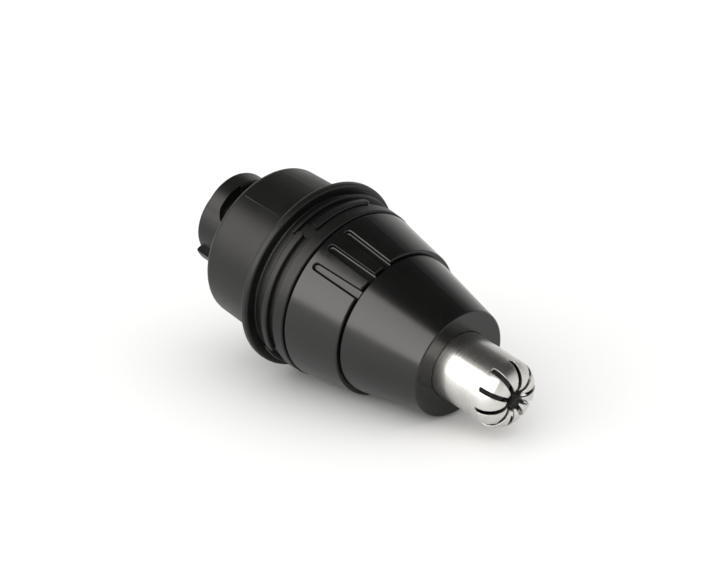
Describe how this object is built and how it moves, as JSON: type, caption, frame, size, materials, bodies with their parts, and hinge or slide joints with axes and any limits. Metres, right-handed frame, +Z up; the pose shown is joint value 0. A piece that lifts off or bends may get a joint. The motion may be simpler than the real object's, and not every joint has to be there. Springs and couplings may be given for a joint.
{
  "type": "nose hair trimmer head",
  "caption": "Click-on nose hair trimmer head: dark tapered body with a thin flange, a bayonet coupling at the rear and a slotted steel guard over a spinning cutter.",
  "frame": {"origin": "on the table, under the middle of the head's box, as it lies on its flange and its nose rim", "axes": "+X towards the cutting tip, +Y across the head, +Z up from the table; the head's axis dips 12.02 degrees below +X"},
  "size_m": [0.063, 0.03, 0.0298],
  "materials": {
    "black_plastic": "semi-gloss moulded",
    "satin_plastic": "satin moulded",
    "guard_steel": "polished stainless steel",
    "blade_steel": "ground stainless steel",
    "shaft_steel": "ground steel",
    "screw_steel": "zinc plated steel",
    "bronze": "sintered",
    "grey_plastic": "matt moulded",
    "white_plastic": "natural acetal",
    "rubber": "matt"
  },
  "bodies": {
    "root": {"base_housing": "satin_plastic", "lock_sleeve": "black_plastic", "bearing_plate": "grey_plastic", "plate_screws": "screw_steel", "shaft_support": "grey_plastic", "support_screws": "screw_steel", "front_bush": "bronze", "rear_bush": "bronze", "thrust_washer": "shaft_steel", "shaft_seal": "rubber"},
    "nose": {"nose_cone": "black_plastic", "guard_tube": "guard_steel", "guard_retainer": "grey_plastic", "cone_seal": "rubber"},
    "spinner": {"drive_shaft": "shaft_steel", "cutter_hub": "grey_plastic", "rotary_cutter": "blade_steel", "cutter_pin": "shaft_steel", "drive_pin": "shaft_steel", "retaining_clip": "screw_steel", "socket_spring": "screw_steel"},
    "socket": {"drive_socket": "white_plastic"}
  },
  "joints": [
    {"name": "cutter_spin", "type": "hinge", "parent": "root", "child": "spinner", "pos_m": [-0.00993, 0, 0.01498], "axis": [0.9781, 0, -0.2083], "continuous": true},
    {"name": "nose_twist", "type": "hinge", "parent": "root", "child": "nose", "pos_m": [0.00963, 0, 0.01081], "axis": [0.9781, 0, -0.2083], "range_deg": [0, 25]},
    {"name": "socket_float", "type": "slide", "parent": "spinner", "child": "socket", "axis": [0.9781, 0, -0.2083], "range_m": [0, 0.0015], "stiffness_N_per_m": 100, "springref_m": -0.003, "deforming": ["socket_spring"]}
  ]
}
